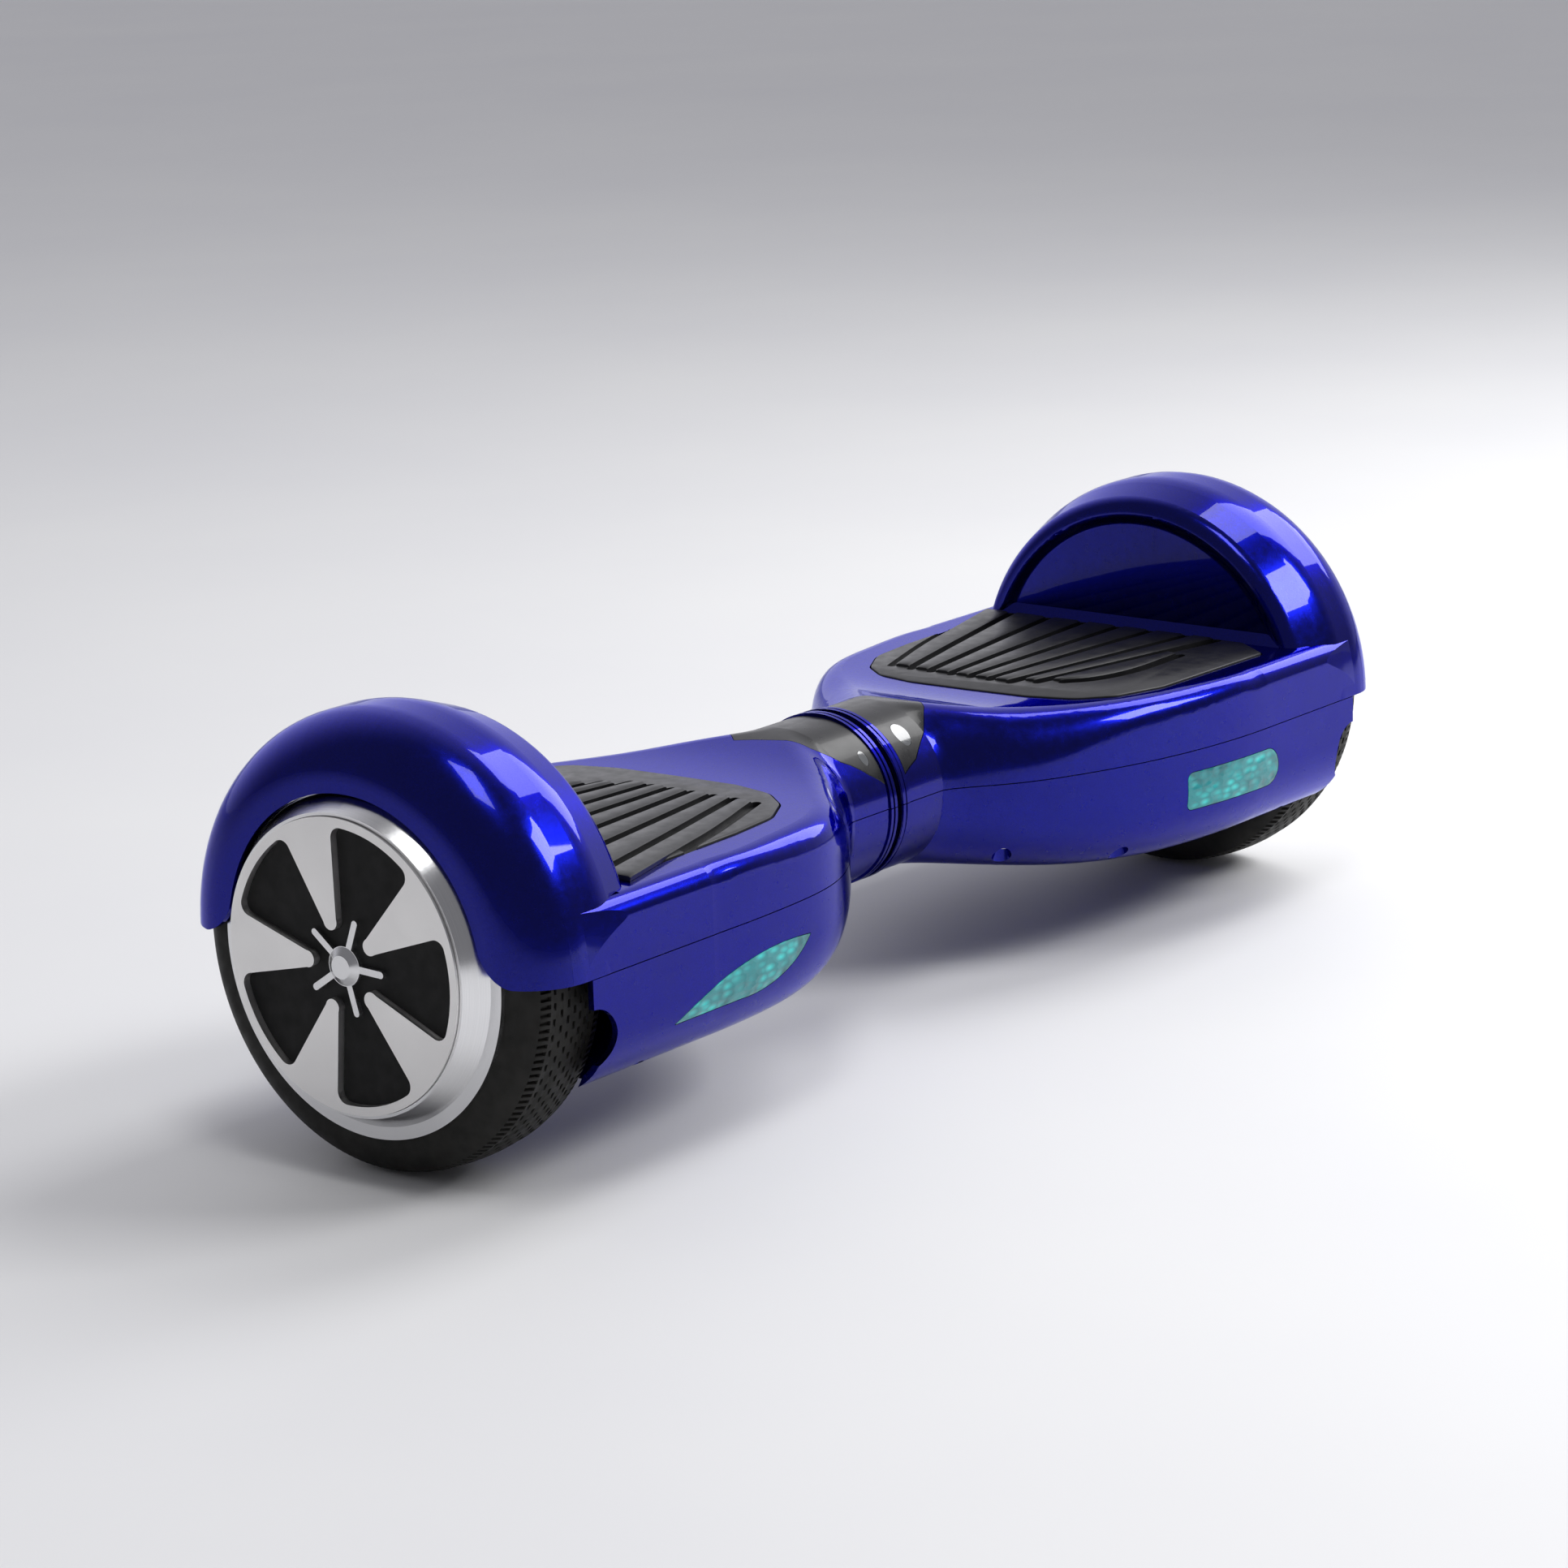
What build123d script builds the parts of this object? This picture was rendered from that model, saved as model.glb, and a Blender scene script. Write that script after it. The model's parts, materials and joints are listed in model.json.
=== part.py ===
from build123d import *
import math
import os

os.makedirs("parts", exist_ok=True)

# Self balancing two-wheel board, in millimetres.
# X runs along the wheel axle line, +Z is up, -Y is the face with the front lights.
# The origin lies on the ground, midway between the wheels.  The two halves are the same
# casting and mouldings, one turned half a turn about Z, so every piece of a half is
# modelled once for the right half (X > 0) and turned for the left one.

# ---- driving dimensions ---------------------------------------------------------------
WHEEL_R = 85.0            # 6.5 inch tyre
AXLE_Z = WHEEL_R          # axle height above the ground
FENDER_R = 93.0           # outer radius of the wheel arch
FENDER_IN = 230.5         # flat inboard wall of the arch
FENDER_OUT = 290.0        # outboard lip
FENDER_ROLL = 24.0        # rounding between the arch and its lip
RIDGE_STEP = 2.0          # the ridge round the inboard wall stands this far inboard
RIDGE_FOOT = 76.0         # radius where the flat wall turns into the ridge
RIDGE_LOW, RIDGE_HIGH = 79.5, 86.0
RIDGE_ROLL = 7.0
CROWN_RUN = 22.0          # the arch rises from the ridge to its full radius over this length
CROWN_ROLL = 30.0
WALL_FOOT = 117.5         # top of the sloped foot of the inboard wall
SHOULDER_R = 95.2         # the platform's edge past the bay is trimmed to a cone about the axle
SHOULDER_END = 272.0
SHOULDER_END_R = 92.3
SHOULDER_ROLL = 60.0
LIP_R = 63.5              # opening that shows the hub
LIP_FLARE = 18.0          # flare at the foot of the opening
WALL = 2.5                # moulded shell thickness
SEAM_Z = 86.0             # parting line of the top and bottom covers
SEAM_GAP = 0.4
DECK_Z = 112.5            # foot platform surface
BODY_END = 237.5          # outboard end of the electronics bay
NECK_START = 1.5          # each half starts this far from the middle plane
NECK_R = 35.5
HALF_WIDTH = 93.0
TYRE_IN, TYRE_OUT = 242.0, 283.5
TYRE_BEAD_R = 62.0
TYRE_SHOULDER = 9.0
TYRE_PHASE = 3.0          # turns the seam off the ground contact
RIM_OUT = 285.5
RIM_FLANGE_R = 69.0
FACE_R = 57.0             # spoke plate
FACE_OUT = 296.0
AXLE_R = 8.0
BEARING_R = 17.5
SHAFT_R = 15.0            # pivot tube between the halves
SHAFT_BORE_R = 10.0
HOUSING_R = 24.0          # chassis boss round the pivot tube
HOUSING_END = 60.0
RUN_FIT = 0.04            # radial clearance of running fits
TWIST_LIMIT = 13.0        # the stop slot allows this many degrees each way
PLATE_Z = 90.0            # underside of the cast deck plate
PLATE_T = 4.0
PAD_TOP = 113.4
PAD_GAP = 0.6
PAD_RIB_TOP = 114.8
BOTTOM_Z = 37.0           # underside of the body
LIP_DEPTH = 20.0
AXLE_HOLE_R = 12.0        # hole in the bay's end wall
WING_END = 262.0          # the bottom cover's side skins reach this far
WHEEL_ROOM_R = 89.0       # room round the tyre
INSERT_IN, INSERT_OUT = 290.0, 292.8
SPOKE_ANGLE = 106.0
RIB_Z = 82.0              # underside of the deck's long ribs
STOP_PIN_R = 2.5
STOP_PIN_X = 30.0
TRIM_LOW = 92.0
SOCKET_R = 6.2            # bore of the charging socket
CLIP_ROOM_R = 19.5        # room round the circlip
WIRE_R = 2.0
SINK_Y = -3.5             # middle of the heat sink
FINS = 11
FIN_PITCH = 9.7

# Body sections from the neck to the arch: distance from the middle plane, front half
# width, back half width, top height, underside height, top and bottom corner radius.
STATIONS = [
    (30.0, 36.5, 36.0, 120.5, 49.5, 34.5, 34.5),
    (45.0, 47.5, 43.5, 118.0, 48.2, 31.0, 34.0),
    (60.0, 59.0, 56.0, 115.2, 45.8, 26.0, 34.0),
    (80.0, 69.5, 71.5, 113.2, 42.4, 20.0, 33.0),
    (100.0, 77.5, 83.0, 112.6, 39.7, 14.0, 32.0),
    (125.0, 85.0, 90.0, DECK_Z, 37.8, 11.0, 31.0),
    (155.0, 90.5, 92.4, DECK_Z, 37.1, 9.0, 30.2),
    (180.0, 92.6, 92.75, DECK_Z, BOTTOM_Z, 8.6, 30.0),
    (192.0, 92.8, 92.8, DECK_Z, BOTTOM_Z, 8.5, 30.0),
]

# Cover screws of one half: along the axle line, across it, height of the head's seat.
SCREWS = [(60, -44, 58), (60, 40, 58), (112, -68, 51), (92, 34, 47), (222, -76, 48), (222, 76, 48)]

# Foot pad outline seen from above.
PAD_OUTLINE = [
    (227, 74), (150, 71), (124, 68), (106, 58), (95, 44), (91, 25), (92, -5),
    (94, -34), (100, -54), (114, -67), (138, -74.5), (214, -76), (227, -58),
]

# Black neck trim seen from above.
TRIM_OUTLINE = [
    (7, 34.2), (15, 32), (27, 27), (37, 19), (41, 8), (44, -4), (47, -12),
    (40, -20), (30, -27), (17, -32.5), (7, -34.2),
]

# Deck plate outline, one side of the axle line.
PLATE_OUTLINE = [(25, 20), (60, 46), (85, 60), (112, 73), (150, 84), (233, 84)]

CLAMP_BOLTS = [(217.5, -16), (217.5, 16), (227.5, -16), (227.5, 16)]
PAD_POSTS = [(140, -50), (198, -50), (140, 50), (198, 50)]

# Indicator windows in the neck trim: along, across, radius.
INDICATORS = [(17, -25, 4.2), (13, 28, 2.2)]

# Light lenses in the X-Z plane: the D's box, and the leaf's tip, inboard end and low point.
D_LENS = (137, 200, 60, 76.5)
LEAF_LENS = ((214, 56.5), (131, 71.5), (174, 56.5))

# Round recesses in the rear wall: along, height, radius, floor, hole through the floor.
BUTTON_CUP = (74, 66, 9.5, 52, 3.0)
SOCKET_CUP = (100, 66, 10.5, 72, 8.0)
CAP_HINGE_Y = SOCKET_CUP[3] + 4.2
CAP_HINGE_Z = SOCKET_CUP[1] - 8.8
CAP_ROOM = 11.0           # half width of the notch that the open cap swings into

PAD_CORNERS = [3, 20, 20, 14, 14, 20, 20, 20, 14, 14, 20, 4, 4]


# ---- helpers --------------------------------------------------------------------------
def save(shape, node):
    export_step(shape, f"parts/{node}.step")


def turned(shape, side):
    """The right half's piece, or its copy on the left half."""
    return shape if side == "right" else shape.rotate(Axis.Z, 180)


def block(x0, x1, y0, y1, z0, z1):
    centre = ((x0 + x1) / 2, (y0 + y1) / 2, (z0 + z1) / 2)
    return Pos(*centre) * Box(x1 - x0, y1 - y0, z1 - z0)


def rod_x(radius, x0, x1, y=0.0, z=AXLE_Z):
    return Pos((x0 + x1) / 2, y, z) * Rot(0, 90, 0) * Cylinder(radius, x1 - x0)


def rod_y(radius, y0, y1, x, z):
    return Pos(x, (y0 + y1) / 2, z) * Rot(90, 0, 0) * Cylinder(radius, y1 - y0)


def rod_z(radius, z0, z1, x, y):
    return Pos(x, y, (z0 + z1) / 2) * Cylinder(radius, z1 - z0)


def ring_x(outer, inner, x0, x1):
    return rod_x(outer, x0, x1) - rod_x(inner, x0 - 1, x1 + 1)


def turned_profile(corners, fillets):
    """Revolve a closed outline of (x, radius) corners about the axle line."""
    points = [(x, 0, radius) for x, radius in corners]
    outline = FilletPolyline(*points, radius=fillets, close=True)
    solid = revolve(make_face(outline), Axis.X)
    return Pos(0, 0, AXLE_Z) * solid


def section(station, inset):
    """One closed body section, a rectangle with two sizes of rounded corner."""
    x, front, back, top, under, r_top, r_low = station
    y0, y1 = inset - front, back - inset
    z0, z1 = under + inset, top - inset
    rt, rl = r_top - inset, r_low - inset
    c = math.sqrt(0.5)
    corner = [(y0 + rt, z1 - rt, -c, c, rt), (y1 - rt, z1 - rt, c, c, rt),
              (y1 - rl, z0 + rl, c, -c, rl), (y0 + rl, z0 + rl, -c, -c, rl)]
    starts = [(y0, z1 - rt), (y1 - rt, z1), (y1, z0 + rl), (y0 + rl, z0)]
    ends = [(y0 + rt, z1), (y1, z1 - rt), (y1 - rl, z0), (y0, z0 + rl)]
    edges = []
    for i in range(4):
        cy, cz, ny, nz, r = corner[i]
        mid = (x, cy + ny * r, cz + nz * r)
        edges.append(ThreePointArc((x, *starts[i]), mid, (x, *ends[i])))
        edges.append(Line((x, *ends[i]), (x, *starts[(i + 1) % 4])))
    return Wire(edges)


def body(inset, start, end):
    """The half's hull, pulled in by inset, from start to end along the axle line."""
    sections = [section(station, inset) for station in STATIONS]
    hull = Solid.make_loft(sections, ruled=False)
    first, last = STATIONS[0][0], STATIONS[-1][0]
    neck = extrude(Face(sections[0]), amount=first - start, dir=(-1, 0, 0))
    bay = extrude(Face(sections[-1]), amount=end - last, dir=(1, 0, 0))
    return neck + hull + bay


def plan_prism(points, z0, z1, grow=0.0):
    """A prism over a smooth closed outline drawn from above."""
    face = make_face(Polyline(*[(x, y) for x, y in points], close=True))
    if grow:
        face = make_face(offset(face, amount=grow, kind=Kind.INTERSECTION).edges())
    return Pos(0, 0, z0) * extrude(face, amount=z1 - z0)


def pad_face(grow):
    outline = FilletPolyline(*PAD_OUTLINE, radius=PAD_CORNERS, close=True)
    return offset(make_face(outline), amount=grow) if grow else make_face(outline)


def pad_prism(grow, z0, z1):
    return Pos(0, 0, z0) * extrude(pad_face(grow), amount=z1 - z0)


# ---- hull volumes used by several pieces ----------------------------------------------
def clipped(inset, end):
    """The hull of a half, held to the half width and the lowest point that it may have."""
    half = HALF_WIDTH - inset
    room = block(-5, end + 5, -half, half, BOTTOM_Z + inset, 200)
    start = NECK_START if inset == 0 else 0.0
    return body(inset, start, end) & room


outer = clipped(0.0, BODY_END)
inner = clipped(WALL, BODY_END - WALL)


hull_at = {depth: clipped(depth, BODY_END + 5) for depth in (1.4, 1.5, 2.2)}


def skin(depth, prism):
    """The outermost depth of the hull inside a prism."""
    return (outer & prism) - hull_at[depth]


# ---- wheel arch -----------------------------------------------------------------------
def arch_solid(inset):
    """The wheel arch, or with an inset the room inside it."""
    radius = FENDER_R - inset
    near, far = FENDER_IN + inset, FENDER_OUT - inset
    ridge = near - RIDGE_STEP
    crown = FENDER_IN - RIDGE_STEP + CROWN_RUN + 0.15 * inset
    corners = [
        (near, 0), (near, RIDGE_FOOT + 0.27 * inset), (ridge, RIDGE_LOW + 0.27 * inset),
        (ridge, RIDGE_HIGH - 0.73 * inset), (crown, radius), (far, radius), (far, 0),
    ]
    fillets = [0, 4, 4 - 0.8 * inset, RIDGE_ROLL - inset, CROWN_ROLL, FENDER_ROLL - inset, 0]
    return turned_profile(corners, fillets)


def shoulders():
    """The platform's edges carried on past the bay until the arch swallows them."""
    hull = clipped(0.0, FENDER_OUT) & block(BODY_END - 1, FENDER_OUT, -100, 100, SEAM_Z, 200)
    reach = [(FENDER_IN, 0), (FENDER_IN, SHOULDER_R), (BODY_END, SHOULDER_R), (SHOULDER_END, SHOULDER_END_R),
             (SHOULDER_END, 0)]
    cone = turned_profile(reach, [0, 0, SHOULDER_ROLL, 0, 0])
    return (hull & cone) - rod_x(FENDER_R - WALL, FENDER_IN - 5, FENDER_OUT)


def wall_foot():
    """Sloped foot where the inboard wall stands on the platform."""
    x = FENDER_IN
    profile = Polygon((x - 2.4, DECK_Z - 1), (x - 2.4, DECK_Z), (x, WALL_FOOT), (x + 1, WALL_FOOT),
                      (x + 1, DECK_Z - 1), align=None)
    plane = Plane(origin=(0, 0, 0), x_dir=(1, 0, 0), z_dir=(0, -1, 0))
    foot = extrude(plane * profile, amount=80, both=True)
    return foot & rod_x(RIDGE_LOW + 1, x - 5, x + 5)


def lip_opening():
    """The round opening in the lip, flared where it meets the arch's bottom edge."""
    circle = Circle(LIP_R)
    foot = Pos(0, -LIP_R) * Rectangle(4 * LIP_R, 2 * LIP_R)
    shape = Sketch() + circle + foot
    corners = [v for v in shape.vertices() if abs(abs(v.X) - LIP_R) < 0.1 and abs(v.Y) < 0.1]
    shape = fillet(corners, LIP_FLARE)
    plane = Plane(origin=(FENDER_OUT - LIP_DEPTH, 0, SEAM_Z), x_dir=(0, 1, 0), z_dir=(1, 0, 0))
    return extrude(plane * shape, amount=LIP_DEPTH + 5)


# ---- covers ---------------------------------------------------------------------------
def neck_ribs():
    """Two thin raised rings beside the gap between the halves."""
    return ring_x(NECK_R + 1.4, NECK_R - 2, 2.0, 3.6) + ring_x(NECK_R + 1.4, NECK_R - 2, 4.7, 6.3)


def trim_prism(grow):
    return plan_prism(TRIM_OUTLINE, TRIM_LOW, 130, grow)


def top_cover():
    arch = arch_solid(0.0) + shoulders() - arch_solid(WALL) - lip_opening()
    shell = outer + arch + wall_foot() + neck_ribs() - inner
    shell -= pad_prism(PAD_GAP, 100, 130)
    shell -= skin(1.5, trim_prism(0.25))
    shell -= rod_x(AXLE_HOLE_R, BODY_END - 10, BODY_END + 1)
    return shell & block(0, 300, -100, 100, SEAM_Z + SEAM_GAP / 2, 200)


def light_outline(kind, grow):
    """Front lens (a rounded D) or rear lens (a leaf), drawn in the X-Z plane."""
    if kind == "d":
        x0, x1, z0, z1 = D_LENS
        outline = FilletPolyline((x0, z0), (x1, z0), (x1, z1), (x0, z1), radius=[3, 8.2, 8.2, 3], close=True)
    else:
        tip, end, low = LEAF_LENS
        upper = ThreePointArc(tip, (178, 69.8), end)
        lower = ThreePointArc(end, (149, 60.3), low)
        outline = Curve() + [upper, lower, Line(low, tip)]
    face = make_face(outline)
    return offset(face, amount=grow) if grow else face


def light_prism(kind, grow):
    """The lens outline run through the cover's wall: front for the D, rear for the leaf."""
    plane = Plane(origin=(0, 0, 0), x_dir=(1, 0, 0), z_dir=(0, -1, 0))
    near, far = (75, 100) if kind == "d" else (-100, -75)
    return extrude(Plane(origin=plane.origin + plane.z_dir * near, x_dir=plane.x_dir, z_dir=plane.z_dir)
                   * light_outline(kind, grow), amount=far - near)


def screw_seats(cover):
    for x, y, seat in SCREWS:
        cover += rod_z(6.0, 30, seat + 4, x, y) & outer
        cover -= rod_z(4.2, 30, seat, x, y)
        cover -= rod_z(1.6, seat - 1, seat + 5, x, y)
    return cover


def wings():
    """The bottom cover's side skins, which run on past the bay in front of the tyre."""
    room = clipped(0.0, WING_END) - clipped(WALL, WING_END + 5) - rod_x(WHEEL_ROOM_R, BODY_END - 5, 300)
    notch = rod_y(13, -100, 100, WING_END, 61.5) + block(255, 300, -100, 100, 0, 52)
    return (room & block(BODY_END - 0.5, WING_END, -100, 100, 0, 200)) - notch


def bottom_cover(side):
    shell = outer + neck_ribs() + wings() - inner
    shell = screw_seats(shell)
    for kind in ("d", "leaf"):
        shell -= light_prism(kind, 0.3)
    shell -= rod_x(AXLE_HOLE_R, BODY_END - 10, BODY_END + 1)
    if side == "right":
        for cup in (BUTTON_CUP, SOCKET_CUP):
            x, z, radius, floor, hole = cup
            shell += rod_y(radius + 2, floor - WALL, 95, x, z) & outer
            shell -= rod_y(radius, floor, 100, x, z)
            shell -= rod_y(hole, floor - 5, floor + 1, x, z)
        x, z = SOCKET_CUP[:2]
        shell -= block(x - CAP_ROOM, x + CAP_ROOM, CAP_HINGE_Y - 0.6, 100, CAP_HINGE_Z - 1.5, z)
    return shell & block(0, 300, -100, 100, 0, SEAM_Z - SEAM_GAP / 2)


def neck_trim():
    trim = skin(1.4, trim_prism(0.0))
    for x, y, radius in INDICATORS:
        trim -= rod_z(radius + 0.15, 90, 130, x, y)
    return trim


def indicator_lenses():
    lenses = [skin(1.4, rod_z(radius, 90, 130, x, y)) for x, y, radius in INDICATORS]
    return lenses[0] + lenses[1]


def light_lenses():
    front = skin(2.2, light_prism("d", 0.0))
    return front + skin(2.2, light_prism("leaf", 0.0))


def led_boards():
    boards = block(127, 209, -79, -77.4, 61, 75) + block(124, 215, 77.4, 79, 58, 73)
    for x in (130, 206):
        boards += rod_y(2, -95, -79, x, 70) & inner
    for x in (127, 212):
        boards += rod_y(2, 79, 95, x, 70) & inner
    for i in range(5):
        boards += block(141 + 12 * i, 145 + 12 * i, -80.4, -79, 66, 70)
        boards += block(141 + 12 * i, 145 + 12 * i, 79, 80.4, 62, 66)
    return boards


def cover_screws():
    screws = [rod_z(3.5, seat - 2.2, seat, x, y) + rod_z(1.5, seat, seat + 14, x, y) for x, y, seat in SCREWS]
    return Compound(children=screws)


# ---- foot pad and its switch ----------------------------------------------------------
def foot_pad():
    """Rubber pad with a flange under the cover and four posts that press the switches."""
    pad = pad_prism(0.0, DECK_Z - WALL - 0.2, PAD_TOP) + pad_prism(2.0, 106.8, DECK_Z - WALL - 0.2)
    ribs = pad_prism(-9.0, PAD_TOP, PAD_RIB_TOP)
    for i in range(9):
        y = -56 + 14 * i
        slope = 0.02 * (y + 4)
        groove = Pos(160, y, PAD_TOP + 1) * Rot(0, 0, slope * 8) * Box(180, 5, 2)
        ribs -= groove
    for x, y in PAD_POSTS:
        pad += rod_z(5, 98, 107, x, y)
    return pad + ribs


def pad_switch_board():
    boards = []
    for y in (-50, 50):
        board = block(118, 215, y - 8, y + 8, PLATE_Z + PLATE_T, PLATE_Z + PLATE_T + 1.6)
        for x in (PAD_POSTS[0][0], PAD_POSTS[1][0]):
            board += rod_z(4, 95.6, 96.2, x, y)
        boards.append(board)
    return Compound(children=boards)


# ---- chassis --------------------------------------------------------------------------
def chassis(side):
    plate = make_face(Polyline(*PLATE_OUTLINE, *[(x, -y) for x, y in reversed(PLATE_OUTLINE)], close=True))
    frame = Pos(0, 0, PLATE_Z) * extrude(plate, amount=PLATE_T)
    frame += rod_x(HOUSING_R, 1.6, HOUSING_END)
    for s in (-1, 1):
        frame += block(40, 213, 26 * s - 2, 26 * s + 2, RIB_Z, PLATE_Z + 1)
        frame += block(160, 231, 82 * s - 2, 82 * s + 2, 79, PLATE_Z + 1)
        for x in (150, 200):
            frame += block(x - 2, x + 2, 49 * s - 23, 49 * s + 23, 84, PLATE_Z + 1)
    frame += block(212, 233, -24, 24, AXLE_Z, PLATE_Z + 1)
    for x, y, seat in SCREWS:
        frame += rod_z(4.5, seat + 4, PLATE_Z + 1, x, y)
        frame -= rod_z(1.5, seat + 3, seat + 15, x, y)
    bore = BEARING_R if side == "right" else SHAFT_R
    frame -= rod_x(bore, 0, HOUSING_END + 1)
    frame -= rod_x(CLIP_ROOM_R, HOUSING_END, 70)
    frame -= rod_x(AXLE_R, 211, 240)
    for x, y in CLAMP_BOLTS:
        frame -= rod_z(2.5, AXLE_Z - 1, 92, x, y)
    if side == "right":
        half_slot = 22 * math.sin(math.radians(TWIST_LIMIT)) + STOP_PIN_R
        frame -= block(STOP_PIN_X - 4, STOP_PIN_X + 4, -half_slot, half_slot, AXLE_Z + 12, 120)
    return frame


def axle_clamp():
    clamp = block(213, 232, -24, 24, 70, AXLE_Z) - rod_x(AXLE_R, 211, 240)
    for x, y in CLAMP_BOLTS:
        clamp -= rod_z(2.5, 69, 90, x, y)
    return clamp


def clamp_bolts():
    bolts = []
    for x, y in CLAMP_BOLTS:
        hexagon = Pos(x, y, 66) * extrude(RegularPolygon(4.2, 6), amount=4)
        bolts.append(hexagon + rod_z(2.5, 69, 92, x, y))
    return Compound(children=bolts)


# ---- pivot between the halves ---------------------------------------------------------
def pivot_shaft():
    shaft = ring_x(SHAFT_R, SHAFT_BORE_R, -HOUSING_END, 66)
    shaft -= ring_x(SHAFT_R + 1, SHAFT_R - 1, 61, 62.6)
    return shaft - rod_z(STOP_PIN_R, 94, 102, STOP_PIN_X, 0)


def pivot_circlip():
    return ring_x(18, SHAFT_R - 1, 61, 62.6) - block(60, 64, -3, 3, AXLE_Z, 110)


def twist_stop_pin():
    return rod_z(STOP_PIN_R, 95, AXLE_Z + 22, STOP_PIN_X, 0)


def pivot_bushings():
    bushing = [ring_x(BEARING_R, SHAFT_R + RUN_FIT, x, x + 18) for x in (3, 40)]
    return Compound(children=bushing)


def neck_seal():
    return ring_x(34.4, SHAFT_R + 0.3, -1.2, 1.2)


# ---- wheel and hub motor --------------------------------------------------------------
def tyre():
    corners = [(TYRE_IN, TYRE_BEAD_R), (TYRE_IN, WHEEL_R), (TYRE_OUT, WHEEL_R), (TYRE_OUT, TYRE_BEAD_R)]
    ring = turned_profile(corners, [0, TYRE_SHOULDER, TYRE_SHOULDER, 0])
    return Pos(0, 0, AXLE_Z) * Rot(TYRE_PHASE, 0, 0) * Pos(0, 0, -AXLE_Z) * ring


def rim_shell():
    corners = [
        (269.5, BEARING_R), (269.5, 21), (280, 21), (280, 56), (247, 56), (247, TYRE_BEAD_R),
        (TYRE_OUT, TYRE_BEAD_R), (TYRE_OUT, RIM_FLANGE_R), (RIM_OUT, RIM_FLANGE_R), (RIM_OUT, 64.0),
        (294.8, 58.4), (294.8, FACE_R + 0.2), (INSERT_IN, FACE_R + 0.2), (INSERT_IN, 0), (282, 0),
        (282, 12), (279.5, 12), (279.5, BEARING_R),
    ]
    outline = Polyline(*[(x, 0, radius) for x, radius in corners], close=True)
    return Pos(0, 0, AXLE_Z) * revolve(make_face(outline), Axis.X)


def face_plane(x):
    """Plane across the axle, with its local x along the row's Y and local y upwards."""
    return Plane(origin=(x, 0, AXLE_Z), x_dir=(0, 1, 0), z_dir=(1, 0, 0))


def spoke(angle):
    shape = Polygon((17.5, -3.2), (56, -13.6), (56, 13.6), (17.5, 3.2), align=None)
    return Rot(0, 0, angle) * (shape + Pos(17.5, 0) * Circle(3.3))


def spoke_cover():
    """Aluminium face plate: five tapering spokes that reach in from a thin ring."""
    windows = Circle(53.5)
    for k in range(5):
        windows -= spoke(SPOKE_ANGLE + 72 * k)
    corners = [v for v in windows.vertices() if math.hypot(v.X, v.Y) > 53.0]
    windows = fillet(corners, 4.5)
    plate = Circle(FACE_R) - windows
    return extrude(face_plane(INSERT_OUT) * plate, amount=FACE_OUT - INSERT_OUT)


def hub_insert():
    return rod_x(FACE_R, INSERT_IN, INSERT_OUT)


def hub_cap():
    """Small cone with five round-ended fins, one towards each window."""
    fins = Sketch() + Circle(7.7)
    for k in range(5):
        fins += Rot(0, 0, SPOKE_ANGLE - 36 + 72 * k) * (Pos(9.1, 0) * SlotOverall(20.8, 2.7))
    star = extrude(face_plane(INSERT_OUT) * fins, amount=2)
    cone = face_plane(INSERT_OUT + 2) * Pos(0, 0, 1) * Cone(7.5, 4.5, 2)
    return star + cone


def magnet_ring():
    return ring_x(56, 51, 252, 276)


def stator():
    core = ring_x(50, 34, 252, 276)
    for k in range(18):
        slot = block(251, 277, -2.2, 2.2, 39, 52)
        core -= Pos(0, 0, AXLE_Z) * Rot(20 * k, 0, 0) * slot
        core -= Pos(0, 0, AXLE_Z) * Rot(20 * k, 0, 0) * block(251, 277, -4.4, 4.4, 38, 46)
    return core + ring_x(34.5, AXLE_R, 262, 266) + ring_x(12, AXLE_R, 257.5, 267.5)


def axle():
    return rod_x(AXLE_R, 212, 279) - rod_x(4, 211, 250)


def wheel_bearings():
    return Compound(children=[ring_x(BEARING_R, AXLE_R + RUN_FIT, x, x + 9) for x in (246, 270)])


def motor_cover():
    cover = ring_x(61.5, 9, 243, 246) + ring_x(61.5, BEARING_R, 246, 247)
    return cover + ring_x(21, BEARING_R, 246, 255.5)


# ---- electrics ------------------------------------------------------------------------
def battery_pack():
    pack = block(118, 211, -66, 66, 42, RIB_Z)
    return fillet(pack.edges().filter_by(Axis.X), 9)


def main_board():
    board = block(122, 205, -50, 50, 72, 73.6)
    for x in (130, 197):
        for y in (-26, 26):
            board += rod_z(3, 73, RIB_Z, x, y)
    for y in (-18, 18):
        board += rod_z(8, 52, 72.5, 136, y)
    return board + block(124, 130, -44, -30, 62, 72.5) + block(124, 130, 30, 44, 62, 72.5)


def heat_sink():
    """Finned block under the main board, off centre to balance the half about the axle."""
    sink = block(148, 205, SINK_Y - 50, SINK_Y + 50, 60, 72)
    for i in range(FINS):
        y = SINK_Y + FIN_PITCH * (i - FINS // 2)
        sink += block(148, 205, y - 1.5, y + 1.5, 42, 61)
    return sink


def gyro_board():
    board = block(104, 126, -13, 13, 86.4, 88) + block(110, 118, -4, 4, 85.0, 86.5)
    for x in (107, 123):
        for y in (-10, 10):
            board += rod_z(1.8, 87.5, PLATE_Z, x, y)
    return board


def wiring():
    """Loom from the axle's bore, under the deck plate, into the pivot tube."""
    route = [(224, 0, AXLE_Z), (210, 0, AXLE_Z), (198, 16, 85.2), (100, 18, 85.2),
             (82, 0, AXLE_Z), (54, 0, AXLE_Z)]
    path = FilletPolyline(*route, radius=[8, 10, 14, 14])
    start = Plane(origin=route[0], z_dir=(-1, 0, 0))
    return sweep(start * Circle(WIRE_R), path=path)


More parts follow.
